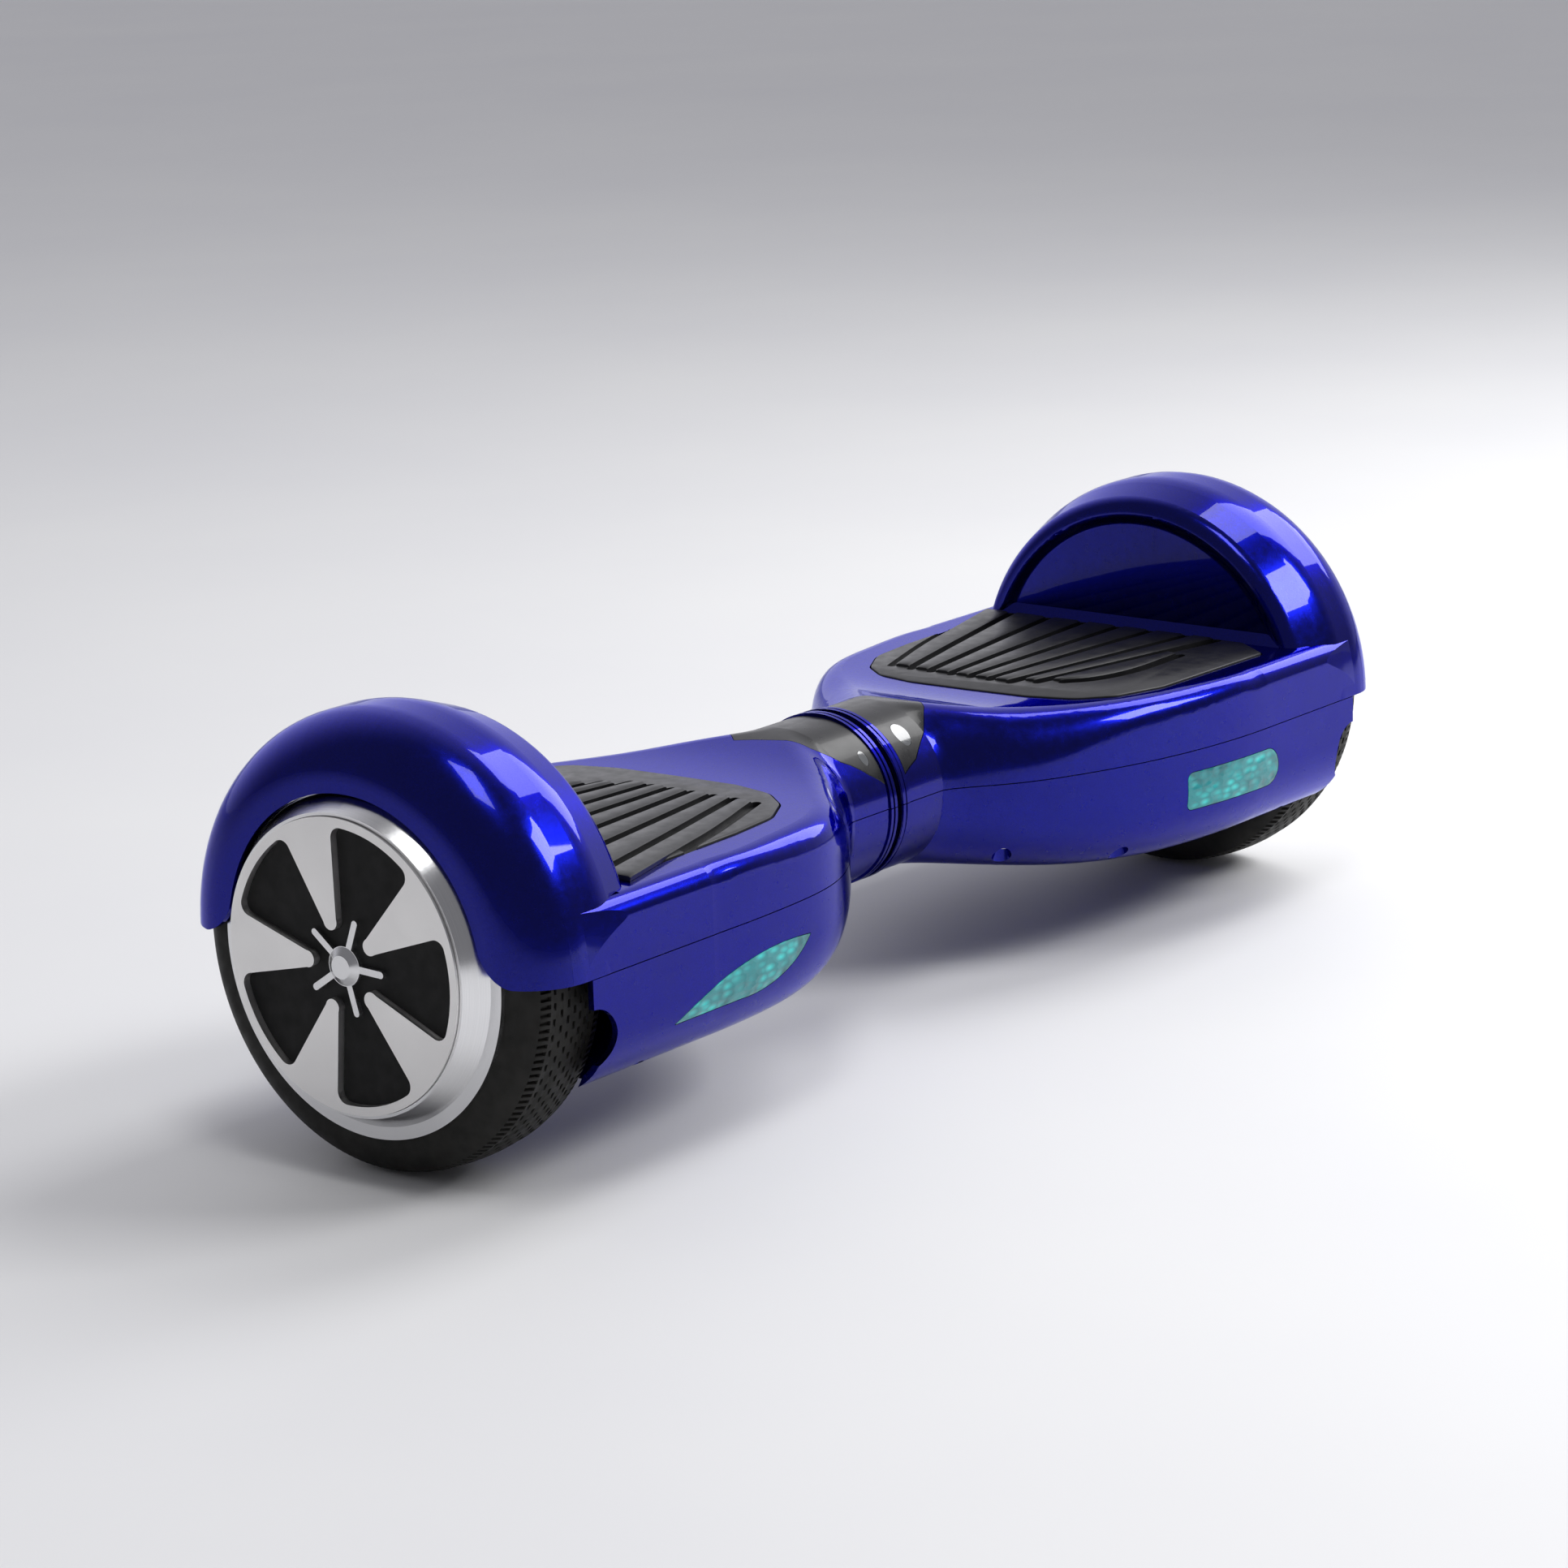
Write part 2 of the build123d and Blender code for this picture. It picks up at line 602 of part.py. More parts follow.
def power_button():
    x, z, radius, floor, hole = BUTTON_CUP
    return rod_y(radius - 0.4, floor + 2, floor + 6.5, x, z) + rod_y(hole - 0.3, floor - 5, floor + 3, x, z)


def power_switch():
    x, z, radius, floor, hole = BUTTON_CUP
    return block(x - 7, x + 7, floor - 20, floor - 6.5, z - 7, z + 7)


def charge_socket():
    x, z, radius, floor, hole = SOCKET_CUP
    socket = rod_y(hole, floor - 14, floor, x, z) + rod_y(radius - 0.3, floor, floor + 1, x, z)
    socket -= rod_y(SOCKET_R, floor - 8, floor + 2, x, z)
    for k in range(3):
        angle = math.radians(90 + 120 * k)
        socket -= rod_y(0.9, floor - 12, floor - 7, x + 3 * math.cos(angle), z + 3 * math.sin(angle))
    return socket


def charge_cap():
    x, z, radius, floor, hole = SOCKET_CUP
    disc = rod_y(radius - 0.7, floor + 1.6, floor + 3.4, x, z)
    lug = block(x - 2, x + 2, floor + 1.6, CAP_HINGE_Y, CAP_HINGE_Z - 0.5, CAP_HINGE_Z + 2)
    return disc + lug + rod_x(0.9, x - 2, x + 2, CAP_HINGE_Y, CAP_HINGE_Z)


# ---- write every node -----------------------------------------------------------------
BOTH = {
    "neck_trim": neck_trim, "indicator_lenses": indicator_lenses, "light_lenses": light_lenses,
    "led_boards": led_boards, "cover_screws": cover_screws, "foot_pad": foot_pad,
    "pad_switch_board": pad_switch_board, "axle_clamp": axle_clamp, "clamp_bolts": clamp_bolts,
    "gyro_board": gyro_board, "top_cover": top_cover, "tyre": tyre, "rim_shell": rim_shell,
    "spoke_cover": spoke_cover, "hub_insert": hub_insert, "hub_cap": hub_cap,
    "magnet_ring": magnet_ring, "stator": stator, "axle": axle, "wheel_bearings": wheel_bearings,
    "motor_cover": motor_cover, "wiring": wiring,
}
for name, make in BOTH.items():
    piece = make()
    for side in ("left", "right"):
        save(turned(piece, side), f"{name}_{side}")

for side in ("left", "right"):
    save(turned(chassis(side), side), f"chassis_{side}")
    save(turned(bottom_cover(side), side), f"bottom_cover_{side}")

ONCE = {
    "pivot_shaft": pivot_shaft, "pivot_circlip": pivot_circlip, "twist_stop_pin": twist_stop_pin,
    "pivot_bushings": pivot_bushings, "neck_seal": neck_seal, "main_board": main_board,
    "heat_sink": heat_sink, "power_button": power_button, "power_switch": power_switch,
    "charge_socket": charge_socket, "charge_cap": charge_cap,
}
for name, make in ONCE.items():
    save(make(), name)
save(turned(battery_pack(), "left"), "battery_pack")
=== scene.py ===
import bmesh
import bpy
import math
from mathutils import Matrix, Vector
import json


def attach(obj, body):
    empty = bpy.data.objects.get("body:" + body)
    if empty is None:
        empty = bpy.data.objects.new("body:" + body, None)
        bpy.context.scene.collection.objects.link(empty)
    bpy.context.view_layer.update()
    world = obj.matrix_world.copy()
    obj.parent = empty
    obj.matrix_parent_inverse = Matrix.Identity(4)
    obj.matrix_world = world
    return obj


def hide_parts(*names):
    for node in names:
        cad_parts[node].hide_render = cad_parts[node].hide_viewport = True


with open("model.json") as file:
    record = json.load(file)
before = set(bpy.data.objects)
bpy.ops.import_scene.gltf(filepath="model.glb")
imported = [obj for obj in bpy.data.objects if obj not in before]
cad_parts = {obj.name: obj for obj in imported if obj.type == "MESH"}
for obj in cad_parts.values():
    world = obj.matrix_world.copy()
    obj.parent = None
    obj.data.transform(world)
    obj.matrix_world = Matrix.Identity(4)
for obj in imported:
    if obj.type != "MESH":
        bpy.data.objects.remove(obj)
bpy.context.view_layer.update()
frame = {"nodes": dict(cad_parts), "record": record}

# Self balancing two-wheel board.  Lengths in this script are millimetres in the row frame
# and become metres in mesh(), place() and the object texture coordinates.  The left half
# is the right half turned half a turn about Z, so each piece is built once and turned.
MM = 0.001
SIDES = ("right", "left")
AXLE_Z = 85.0
ARC_STEPS = 6                 # straight pieces in a rounded corner of an outline
SAME_POINT = 1e-6

nodes = frame["nodes"]


# ---- mesh helpers ---------------------------------------------------------------------
def turn(side):
    return Matrix.Rotation(math.pi, 4, "Z") if side == "left" else Matrix.Identity(4)


def mesh(name, verts, faces, smooth=35.0):
    """A new object from points in millimetres, smooth except across sharp edges."""
    data = bpy.data.meshes.new(name)
    data.from_pydata([(x * MM, y * MM, z * MM) for x, y, z in verts], [], faces)
    piece = bpy.data.objects.new(name, data)
    bpy.context.scene.collection.objects.link(piece)
    tidy = bmesh.new()
    tidy.from_mesh(data)
    bmesh.ops.remove_doubles(tidy, verts=tidy.verts, dist=SAME_POINT)
    bmesh.ops.recalc_face_normals(tidy, faces=tidy.faces)
    tidy.to_mesh(data)
    tidy.free()
    shade(piece, smooth)
    return piece


def shade(piece, angle):
    piece.data.shade_smooth()
    piece.data.set_sharp_from_angle(angle=math.radians(angle))


def apply_modifiers(piece):
    bpy.context.view_layer.update()
    graph = bpy.context.evaluated_depsgraph_get()
    done = bpy.data.meshes.new_from_object(piece.evaluated_get(graph))
    piece.modifiers.clear()
    piece.data = done


def subtract(piece, cutter):
    cut = piece.modifiers.new("cut", "BOOLEAN")
    cut.operation = "DIFFERENCE"
    cut.solver = "EXACT"
    cut.object = cutter
    apply_modifiers(piece)
    bpy.data.objects.remove(cutter)


def prism(outline, z0, z1):
    """Points and faces of a closed outline in plan, from z0 up to z1."""
    n = len(outline)
    verts = [(x, y, z0) for x, y in outline] + [(x, y, z1) for x, y in outline]
    faces = [tuple(range(n))[::-1], tuple(range(n, 2 * n))]
    faces += [(i, (i + 1) % n, n + (i + 1) % n, n + i) for i in range(n)]
    return verts, faces


def joined(parts):
    """Several (verts, faces) pairs as one."""
    verts, faces = [], []
    for part_verts, part_faces in parts:
        start = len(verts)
        verts += part_verts
        faces += [tuple(start + i for i in face) for face in part_faces]
    return verts, faces


def rounded(points, radii):
    """A closed plan outline with its corners rounded."""
    outline = []
    n = len(points)
    for i in range(n):
        corner = Vector(points[i])
        before = (Vector(points[i - 1]) - corner).normalized()
        after = (Vector(points[(i + 1) % n]) - corner).normalized()
        half = before.angle(after) / 2
        reach = radii[i] / math.tan(half)
        centre = corner + (before + after).normalized() * radii[i] / math.sin(half)
        start, end = corner + before * reach - centre, corner + after * reach - centre
        a0, a1 = math.atan2(start.y, start.x), math.atan2(end.y, end.x)
        swing = (a1 - a0 + math.pi) % (2 * math.pi) - math.pi
        for k in range(ARC_STEPS + 1):
            a = a0 + swing * k / ARC_STEPS
            outline.append((centre.x + radii[i] * math.cos(a), centre.y + radii[i] * math.sin(a)))
    return outline


def inset(outline, distance):
    """The closed outline moved inwards by distance."""
    n = len(outline)
    area = 0.0
    for i in range(n):
        area += outline[i - 1][0] * outline[i][1] - outline[i][0] * outline[i - 1][1]
    sign = 1 if area > 0 else -1
    moved = []
    for i in range(n):
        a, b, c = (Vector(outline[j % n]) for j in (i - 1, i, i + 1))
        normals = []
        for p, q in ((a, b), (b, c)):
            d = (q - p).normalized() if (q - p).length > SAME_POINT else Vector((0, 0))
            normals.append(Vector((-d.y, d.x)) * sign)
        both = normals[0] + normals[1]
        if both.length < SAME_POINT:
            both = normals[0]
        both.normalize()
        scale = distance / max(0.5, both.dot(normals[0] if normals[0].length else normals[1]))
        moved.append(tuple(b + both * scale))
    return moved


def loft(rings):
    """A closed solid through a list of equal closed rings of points."""
    n = len(rings[0])
    verts = [p for ring in rings for p in ring]
    faces = []
    for r in range(len(rings) - 1):
        for i in range(n):
            j = (i + 1) % n
            faces.append((r * n + i, r * n + j, (r + 1) * n + j, (r + 1) * n + i))
    faces.append(tuple(range(n))[::-1])
    faces.append(tuple(range((len(rings) - 1) * n, len(rings) * n)))
    return verts, faces


def smooth_curve(points, count):
    """count + 1 points along a Catmull-Rom curve through the given plan points."""
    path = [Vector(points[0]) * 2 - Vector(points[1])] + [Vector(p) for p in points]
    path.append(Vector(points[-1]) * 2 - Vector(points[-2]))
    spans = len(points) - 1
    out = []
    for k in range(count + 1):
        t = k / count * spans
        i = min(int(t), spans - 1)
        u = t - i
        a, b, c, d = path[i:i + 4]
        out.append(0.5 * ((2 * b) + (c - a) * u + (2 * a - 5 * b + 4 * c - d) * u * u
                          + (3 * b - 3 * c + d - a) * u ** 3))
    return out


# ---- materials ------------------------------------------------------------------------
class Finish:
    """A procedural material: object coordinates in metres feed every texture."""

    def __init__(self, name, **shader):
        self.material = bpy.data.materials.new(name)
        self.material.use_nodes = True
        self.tree = self.material.node_tree
        self.shader = self.tree.nodes["Principled BSDF"]
        self.place = self.add("ShaderNodeTexCoord").outputs["Object"]
        for socket, value in shader.items():
            self.shader.inputs[socket.replace("_", " ")].default_value = value

    def add(self, kind, inputs=None, **settings):
        node = self.tree.nodes.new(kind)
        for key, value in settings.items():
            setattr(node, key, value)
        for socket, value in (inputs or {}).items():
            if isinstance(value, bpy.types.NodeSocket):
                self.tree.links.new(value, node.inputs[socket])
            else:
                node.inputs[socket].default_value = value
        return node

    def noise(self, scale, detail=3.0):
        node = self.add("ShaderNodeTexNoise", {"Vector": self.place, "Scale": scale,
                                               "Detail": detail, "Roughness": 0.5})
        return node.outputs["Fac"]

    def ramp(self, value, low, high, out_low=0.0, out_high=1.0):
        node = self.add("ShaderNodeMapRange", {"Value": value, "From Min": low, "From Max": high,
                                               "To Min": out_low, "To Max": out_high})
        return node.outputs["Result"]

    def mix(self, factor, a, b):
        node = self.add("ShaderNodeMix", data_type="RGBA")
        self.tree.links.new(factor, node.inputs[0])
        for socket, value in ((node.inputs[6], a), (node.inputs[7], b)):
            if isinstance(value, bpy.types.NodeSocket):
                self.tree.links.new(value, socket)
            else:
                socket.default_value = (*value, 1.0)
        return node.outputs[2]

    def math(self, operation, a, b):
        return self.add("ShaderNodeMath", {0: a, 1: b}, operation=operation).outputs[0]

    def vector_math(self, operation, *values):
        return self.add("ShaderNodeVectorMath", dict(enumerate(values)), operation=operation)

    def radius(self):
        """Distance from the axle line."""
        moved = self.vector_math("SUBTRACT", self.place, (0, 0, AXLE_Z * MM)).outputs[0]
        flat = self.vector_math("MULTIPLY", moved, (0, 1, 1)).outputs[0]
        return self.vector_math("LENGTH", flat).outputs["Value"]

    def colour(self, value):
        self.tree.links.new(value, self.shader.inputs["Base Color"])

    def rough(self, value):
        self.tree.links.new(value, self.shader.inputs["Roughness"])

    def bump(self, height, strength, distance):
        node = self.add("ShaderNodeBump", {"Height": height, "Strength": strength, "Distance": distance})
        self.tree.links.new(node.outputs["Normal"], self.shader.inputs["Normal"])


def paint(name, deep, bright, metal, coat):
    """Metallic paint under clear lacquer: fine flakes, a slow drift of tone, faint waviness."""
    f = Finish(name, Metallic=metal, Coat_Weight=coat, Coat_Roughness=0.03, Coat_IOR=1.4,
               Specular_Tint=(0.12, 0.16, 1.0, 1.0))
    flakes = f.add("ShaderNodeTexVoronoi", {"Vector": f.place, "Scale": 2400.0}).outputs["Color"]
    grey = f.add("ShaderNodeRGBToBW", {"Color": flakes}).outputs[0]
    tone = f.mix(f.ramp(grey, 0.2, 0.8), deep, bright)
    drift = f.mix(f.ramp(f.noise(9.0, 2.0), 0.35, 0.65), tuple(0.86 * c for c in deep), deep)
    f.colour(f.mix(f.ramp(f.noise(60.0), 0.3, 0.8, 0.2, 0.5), drift, tone))
    f.rough(f.ramp(f.noise(300.0), 0.3, 0.7, 0.20, 0.28))
    f.bump(f.noise(140.0, 1.0), 0.02, 0.0004)
    return f.material


def plastic(name, dark, light, low, high, grain=900.0, depth=0.00006, coat=0.0, shine=0.5):
    """Moulded plastic or rubber with a fine grain and uneven gloss."""
    f = Finish(name, Coat_Weight=coat, Coat_Roughness=0.04, Specular_IOR_Level=shine)
    f.colour(f.mix(f.ramp(f.noise(70.0, 4.0), 0.3, 0.7), dark, light))
    f.rough(f.ramp(f.noise(180.0, 4.0), 0.3, 0.7, low, high))
    f.bump(f.noise(grain, 2.0), 0.35, depth)
    return f.material


def metal(name, dark, light, low, high, grain=260.0, depth=0.00002):
    f = Finish(name, Metallic=1.0)
    f.colour(f.mix(f.ramp(f.noise(90.0, 4.0), 0.3, 0.7), dark, light))
    f.rough(f.ramp(f.noise(220.0, 4.0), 0.3, 0.7, low, high))
    f.bump(f.noise(grain, 3.0), 0.25, depth)
    return f.material


def turned_metal(name, dark, light, low, high, lines, depth):
    """Metal cut on a lathe: fine rings about the axle."""
    f = Finish(name, Metallic=1.0, Anisotropic=0.5)
    radius = f.radius()
    along = f.math("MULTIPLY", radius, lines)
    rings = f.add("ShaderNodeTexNoise", {"W": along, "Scale": 1.0, "Detail": 4.0},
                  noise_dimensions="1D").outputs["Fac"]
    f.colour(f.mix(f.ramp(rings, 0.3, 0.7), dark, light))
    f.rough(f.ramp(f.noise(60.0, 4.0), 0.3, 0.7, low, high))
    f.bump(rings, 0.3, depth)
    return f.material


def lens_finish(name):
    """Clear teal moulding over a ribbed reflector; the paler teal cells over the lamp patches are painted
    reflector shine, brightest at each cell's middle.
    """
    f = Finish(name, IOR=1.45, Coat_Weight=0.5, Coat_Roughness=0.02, Coat_IOR=1.4)
    stretched = f.vector_math("MULTIPLY", f.place, (1.0, 1.0, 2.2)).outputs[0]
    cells = f.add("ShaderNodeTexVoronoi", {"Vector": stretched, "Scale": 150.0, "Randomness": 0.7}).outputs
    # painted reflector shine: brighter teal in patches where the lamps sit, brightest at the middle of
    # each cell
    lamp_shine_patches = f.ramp(f.noise(60.0, 1.0), 0.46, 0.58)
    painted_shine_cells = f.mix(f.ramp(cells["Distance"], 0.1, 0.55), (0.02, 0.62, 0.60), (0.0, 0.24, 0.26))
    plain = f.mix(f.ramp(f.noise(160.0, 3.0), 0.35, 0.65), (0.0, 0.13, 0.15), (0.0, 0.26, 0.28))
    f.colour(f.mix(lamp_shine_patches, plain, painted_shine_cells))
    f.rough(f.ramp(f.noise(200.0), 0.3, 0.7, 0.08, 0.2))
    f.bump(cells["Distance"], 0.5, 0.0012)
    return f.material


FINISHES = {
    "body_paint": paint("blue_metallic_paint", (0.002, 0.004, 0.19), (0.005, 0.010, 0.35), 1.0, 0.6),
    "trim_black": plastic("gloss_black_trim", (0.004, 0.004, 0.005), (0.007, 0.007, 0.008), 0.26, 0.34,
                          300.0, 0.00001, coat=0.1, shine=0.2),
    "smoke_lens": plastic("smoked_lens", (0.05, 0.055, 0.06), (0.08, 0.085, 0.09), 0.08, 0.16, coat=1.0),
    "teal_lens": lens_finish("teal_lens_plastic"),
    "circuit_board": plastic("circuit_board_mask", (0.0, 0.05, 0.015), (0.0, 0.09, 0.03), 0.3, 0.45),
    "steel": metal("zinc_steel", (0.35, 0.35, 0.36), (0.5, 0.5, 0.5), 0.25, 0.4),
    "bearing_steel": metal("ground_bearing_steel", (0.45, 0.45, 0.46), (0.6, 0.6, 0.6), 0.15, 0.25),
    "pad_rubber": plastic("ribbed_pad_rubber", (0.007, 0.007, 0.008), (0.013, 0.013, 0.014), 0.3, 0.42,
                          shine=0.3),
    "cast_aluminium": metal("cast_aluminium_skin", (0.35, 0.36, 0.37), (0.5, 0.5, 0.51), 0.45, 0.6,
                            500.0, 0.0001),
    "tyre_rubber": plastic("tyre_rubber_black", (0.006, 0.006, 0.005), (0.014, 0.013, 0.011), 0.5, 0.7,
                           shine=0.3),
    "turned_aluminium": turned_metal("turned_aluminium_rim", (0.72, 0.72, 0.73), (0.86, 0.86, 0.87),
                                     0.16, 0.26, 9000.0, 0.00003),
    "face_aluminium": turned_metal("satin_face_aluminium", (0.80, 0.79, 0.78), (0.90, 0.89, 0.88),
                                   0.32, 0.42, 14000.0, 0.000015),
    "cap_aluminium": turned_metal("polished_cap_aluminium", (0.7, 0.7, 0.71), (0.85, 0.85, 0.86),
                                  0.2, 0.3, 9000.0, 0.00002),
    "insert_black": plastic("matte_black_insert", (0.004, 0.004, 0.004), (0.008, 0.008, 0.008), 0.5, 0.65,
                            shine=0.25),
    "magnet": metal("nickel_magnet", (0.4, 0.39, 0.37), (0.55, 0.54, 0.52), 0.2, 0.3),
    "stator_steel": metal("lamination_steel", (0.3, 0.29, 0.28), (0.4, 0.39, 0.38), 0.4, 0.55),
    "cable": plastic("cable_jacket", (0.01, 0.01, 0.01), (0.02, 0.02, 0.02), 0.35, 0.5),
    "bronze": metal("oiled_bronze", (0.4, 0.22, 0.08), (0.55, 0.32, 0.13), 0.3, 0.45),
    "seal_rubber": plastic("black_seal_rubber", (0.006, 0.006, 0.006), (0.012, 0.012, 0.012), 0.55, 0.7),
    "button_metal": metal("brushed_button_metal", (0.55, 0.55, 0.56), (0.68, 0.68, 0.69), 0.22, 0.32),
    "black_plastic": plastic("textured_black_plastic", (0.01, 0.01, 0.01), (0.018, 0.018, 0.018),
                             0.4, 0.55),
    "socket_metal": metal("plated_socket_metal", (0.5, 0.48, 0.42), (0.62, 0.6, 0.54), 0.2, 0.3),
    "battery_wrap": plastic("battery_heat_wrap", (0.005, 0.02, 0.08), (0.01, 0.035, 0.12), 0.25, 0.4),
}


def dress(piece, slot):
    piece.data.materials.clear()
    piece.data.materials.append(FINISHES[slot])


for row in frame["record"]["subparts"]:
    node = nodes[row["node"]]
    if node.material_slots:
        for holder in node.material_slots:
            holder.material = FINISHES[row["material_slot"]]
    else:
        dress(node, row["material_slot"])


def place(piece, side, body, slot, *replaced):
    """Turn a finished right-half piece onto its side and hand it to the frame."""
    piece.data.transform(turn(side))
    dress(piece, slot)
    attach(piece, body)
    if replaced:
        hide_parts(*replaced)


# ---- foot pads ------------------------------------------------------------------------
PAD_OUTLINE = [
    (227, 74), (150, 71), (124, 68), (106, 58), (95, 44), (91, 25), (92, -5),
    (94, -34), (100, -54), (114, -67), (138, -74.5), (214, -76), (227, -58),
]
PAD_CORNERS = [3, 20, 20, 14, 14, 20, 20, 20, 14, 14, 20, 4, 4]
PAD_BOTTOM, PAD_TOP, RIB_TOP, GROOVE_FLOOR = 110.0, 113.4, 114.8, 111.4
CUTTER_TOP = 120.0
GROOVE_HALF = 2.1
GROOVE_STEPS, GROOVE_END_STEPS, FINE_STEPS = 24, 5, 240
# Inset of the plate's outline at each height, from its underside up to its rolled top edge.
PAD_EDGE = [
    (0.3, PAD_BOTTOM), (0.0, PAD_BOTTOM + 0.4), (0.0, PAD_TOP - 1.0), (0.25, PAD_TOP - 0.35),
    (0.9, PAD_TOP),
]
RIB_GAP = GROOVE_HALF + 0.05  # from a groove's centre line to the foot of a rib
RIB_ROOT = 0.8                # a rib starts this far inside the plate
RIB_CHAMFER = 1.3
RIB_STEPS = 24
RIB_LAST_X = 224.5
SHORT_RIB = 7                 # ends where its grooves do
RAMP = (0.5, 1.4)             # a rib rises over these distances from its end
# Centre lines of the nine grooves, from the inboard end to the wheel.
GROOVES = [
    [(111, 50), (150, 63), (181, 71.2)],
    [(110, 38.6), (165, 52), (224, 65.6)],
    [(110, 28), (165, 36.4), (224, 45)],
    [(110, 17), (165, 21.4), (224, 25.7)],
    [(110, 6.7), (165, 6.8), (224, 6.4)],
    [(110, -3.6), (165, -7), (224, -11.4)],
    [(110, -14.3), (165, -22.5), (224, -30.8)],
    [(116, -24.3), (165, -34.5), (224, -46)],
    [(122, -33.6), (134, -43), (156, -48.6), (191, -48.4)],
]


def slot_outline(centre, half):
    """Plan outline of a groove with round ends."""
    left, right = [], []
    for i, p in enumerate(centre):
        ahead = centre[min(i + 1, len(centre) - 1)]
        behind = centre[max(i - 1, 0)]
        d = (ahead - behind).normalized()
        n = Vector((-d.y, d.x))
        left.append(p + n * half)
        right.append(p - n * half)
    outline = list(left)
    for point, start in ((centre[-1], left[-1]), (centre[0], right[0])):
        spin = start - point
        a0 = math.atan2(spin.y, spin.x)
        for k in range(1, GROOVE_END_STEPS):
            a = a0 - math.pi * k / GROOVE_END_STEPS
            outline.append(point + Vector((math.cos(a), math.sin(a))) * half)
        if point is centre[-1]:
            outline += right[::-1]
    return [tuple(p) for p in outline]


def rib(upper, lower):
    """A raised bar between two grooves, with sloping sides and ramped ends."""
    rings = []
    count = len(upper)
    for i in range(count):
        a, b = upper[i], lower[i]
        across = (b - a).normalized()
        a, b = a + across * RIB_GAP, b - across * RIB_GAP
        ends = min(i, count - 1 - i)
        rise = (0.0, 0.75, 1.0)[min(ends, 2)]
        top = PAD_TOP - 0.2 + (RIB_TOP - PAD_TOP + 0.2) * rise
        shoulder = PAD_TOP - 0.25 + (RIB_TOP - PAD_TOP - 0.35) * rise
        edge = min(RIB_CHAMFER, (b - a).length * 0.25)
        low = PAD_TOP - RIB_ROOT
        profile = [(a, low), (a, shoulder), (a + across * edge, top), (b - across * edge, top),
                   (b, shoulder), (b, low)]
        rings.append([(p.x, p.y, z) for p, z in profile])
    return loft(rings)


def stations(line, first, last, count):
    """Points on a groove's centre line at even steps in X, close together at both ends."""
    fine = smooth_curve(line, FINE_STEPS)
    out = []
    short, long = RAMP
    xs = [first, first + short, first + long]
    xs += [first + long + (last - first - 2 * long) * k / count for k in range(1, count)]
    xs += [last - long, last - short, last]
    for x in xs:
        nearest = min(fine, key=lambda p: abs(p.x - x))
        slope = (fine[-1] - fine[-4]) if x > fine[-1].x else None
        y = fine[-1].y + (x - fine[-1].x) * slope.y / slope.x if slope else nearest.y
        out.append(Vector((x, y)))
    return out


def foot_pad():
    outline = rounded(PAD_OUTLINE, PAD_CORNERS)
    rings = [[(x, y, z) for x, y in inset(outline, shrink)] for shrink, z in PAD_EDGE]
    plate = mesh("pad", *loft(rings))
    cutters = []
    for line in GROOVES:
        groove = slot_outline(smooth_curve(line, GROOVE_STEPS), GROOVE_HALF)
        cutters.append(prism(groove, GROOVE_FLOOR, CUTTER_TOP))
    subtract(plate, mesh("pad_cutter", *joined(cutters)))
    bars = []
    for k, (upper, lower) in enumerate(zip(GROOVES, GROOVES[1:])):
        first = max(upper[0][0], lower[0][0]) + RAMP[0]
        last = min(RIB_LAST_X, upper[-1][0], lower[-1][0]) if k == SHORT_RIB else RIB_LAST_X
        bars.append(rib(stations(upper, first, last, RIB_STEPS), stations(lower, first, last, RIB_STEPS)))
    ribs = mesh("pad_ribs", *joined(bars))
    merged = bmesh.new()
    merged.from_mesh(plate.data)
    merged.from_mesh(ribs.data)
    merged.to_mesh(plate.data)
    merged.free()
    bpy.data.objects.remove(ribs)
    shade(plate, 30)
    return plate


for side in SIDES:
    pad = foot_pad()
    pad.name = f"ribbed_pad_{side}"
    place(pad, side, f"{side}_foot_pad", "pad_rubber", f"foot_pad_{side}")


# ---- tyres ----------------------------------------------------------------------------
TYRE_IN, TYRE_OUT = 242.0, 283.5
TREAD_REPEATS = 84
# Distance in from the side wall and radius, from the bead to the shoulder.
SIDE_WALL = [(0, 62.2), (0, 74.0), (0.3, 76.5), (1.6, 79.6), (3.2, 81.7)]
# The band of shoulder slots: distance from the tyre's middle and radius.  The two inner
# points sink to make a slot.
SLOT_BAND = [(-16.8, 82.7), (-16.6, 82.9), (-12.6, 84.0), (-12.4, 84.05)]
SLOT_POINTS = (1, 2)
CROWN_R, CROWN_FALL = 84.95, 0.009
DASHES, DASH_FIRST, DASH_PITCH = 7, -10.2, 3.4
DASH_FLOOR_HALF, DASH_HALF = 0.6, 0.72
SLOT_DEPTH, DASH_DEPTH = 1.5, 1.0
# Angular steps of one repeat, and the steps at which slots and dashes are sunk.
TREAD_STEPS = [0.0, 0.06, 0.22, 0.28, 0.5, 0.56, 0.72, 0.78]
SLOT_STEPS = (1, 2, 5, 6)
DASH_STEPS = ((1, 2, 3), (5, 6, 7))


def tread_profile(half):
    """Cross-section of the tyre as (distance from the middle, radius, what is sunk there)."""
    wall = [(-half + d, r, None) for d, r in SIDE_WALL]
    band = [(x, r, "slot" if i in SLOT_POINTS else None) for i, (x, r) in enumerate(SLOT_BAND)]
    crown = []
    for k in range(DASHES):
        x = DASH_FIRST + DASH_PITCH * k
        r = CROWN_R - CROWN_FALL * x * x
        crown += [(x - DASH_HALF, r, None), (x - DASH_FLOOR_HALF, r, k % 2),
                  (x + DASH_FLOOR_HALF, r, k % 2), (x + DASH_HALF, r, None)]
    far_band = [(-x, r, flag) for x, r, flag in band[::-1]]
    far_wall = [(half - d, r, None) for d, r in SIDE_WALL[::-1]]
    return wall + band + crown + far_band + far_wall


